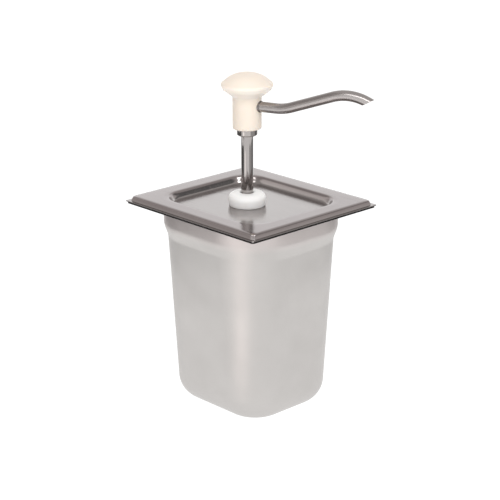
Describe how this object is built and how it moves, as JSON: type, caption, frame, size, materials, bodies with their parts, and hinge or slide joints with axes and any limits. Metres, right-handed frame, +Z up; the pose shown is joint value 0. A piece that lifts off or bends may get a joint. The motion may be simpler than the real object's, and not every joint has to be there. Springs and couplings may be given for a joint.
{
  "type": "condiment pump dispenser",
  "caption": "Hand pump for condiments on a pressed lid, over a deep one-sixth gastronorm container, with a swivelling bent spout.",
  "frame": {"origin": "centre of the container's rim outline, on the flat underside of its base", "axes": "+Z up along the pump, +X along the container's long side, +Y along its short side; the spout points 20 degrees from +X towards +Y at rest"},
  "size_m": [0.2074, 0.164, 0.3274],
  "materials": {
    "satin_steel": "satin, finely blasted",
    "polished_steel": "polished",
    "collar_chrome": "mirror polish",
    "cream_plastic": "satin gloss",
    "white_plastic": "satin gloss",
    "natural_plastic": "as moulded, off-white",
    "seal_rubber": "matt black",
    "inner_steel": "bright"
  },
  "bodies": {
    "container": {"container": "satin_steel"},
    "lid_assembly": {"lid": "polished_steel", "flange_gasket": "seal_rubber", "locking_nut": "white_plastic", "pump_cylinder": "natural_plastic", "stem_bush": "natural_plastic", "stem_wiper": "seal_rubber", "valve_housing": "natural_plastic", "valve_seal": "seal_rubber", "suction_nut": "natural_plastic", "suction_seal": "seal_rubber", "suction_tube": "natural_plastic", "ball_retainer": "inner_steel", "return_spring": "inner_steel"},
    "carrier": {"spring_washer": "inner_steel"},
    "plunger": {"piston": "natural_plastic", "piston_seal": "seal_rubber", "stem_seal": "seal_rubber", "outlet_seat": "inner_steel", "outlet_ball_pin": "inner_steel", "stem_tube": "polished_steel", "stem_collar": "collar_chrome", "head_seal": "seal_rubber", "pump_head": "cream_plastic", "spout_ferrule": "collar_chrome", "spout_seal": "seal_rubber", "spout": "polished_steel"},
    "inlet_ball": {"foot_ball": "inner_steel"},
    "outlet_ball": {"outlet_ball": "inner_steel"}
  },
  "joints": [
    {"name": "lid_lift", "type": "slide", "parent": "container", "child": "lid_assembly", "axis": [0, 0, 1], "range_m": [0, 0.215]},
    {"name": "pump_stroke", "type": "slide", "parent": "lid_assembly", "child": "carrier", "axis": [0, 0, -1], "range_m": [0, 0.048], "stiffness_N_per_m": 350, "springref_m": -0.025, "deforming": ["return_spring"]},
    {"name": "head_swivel", "type": "hinge", "parent": "carrier", "child": "plunger", "pos_m": [-0.0022, -0.0022, 0.27], "axis": [0, 0, 1], "continuous": true},
    {"name": "inlet_ball_lift", "type": "slide", "parent": "lid_assembly", "child": "inlet_ball", "axis": [0, 0, 1], "range_m": [0, 0.003]},
    {"name": "outlet_ball_lift", "type": "slide", "parent": "plunger", "child": "outlet_ball", "axis": [0, 0, 1], "range_m": [0, 0.0025]}
  ]
}
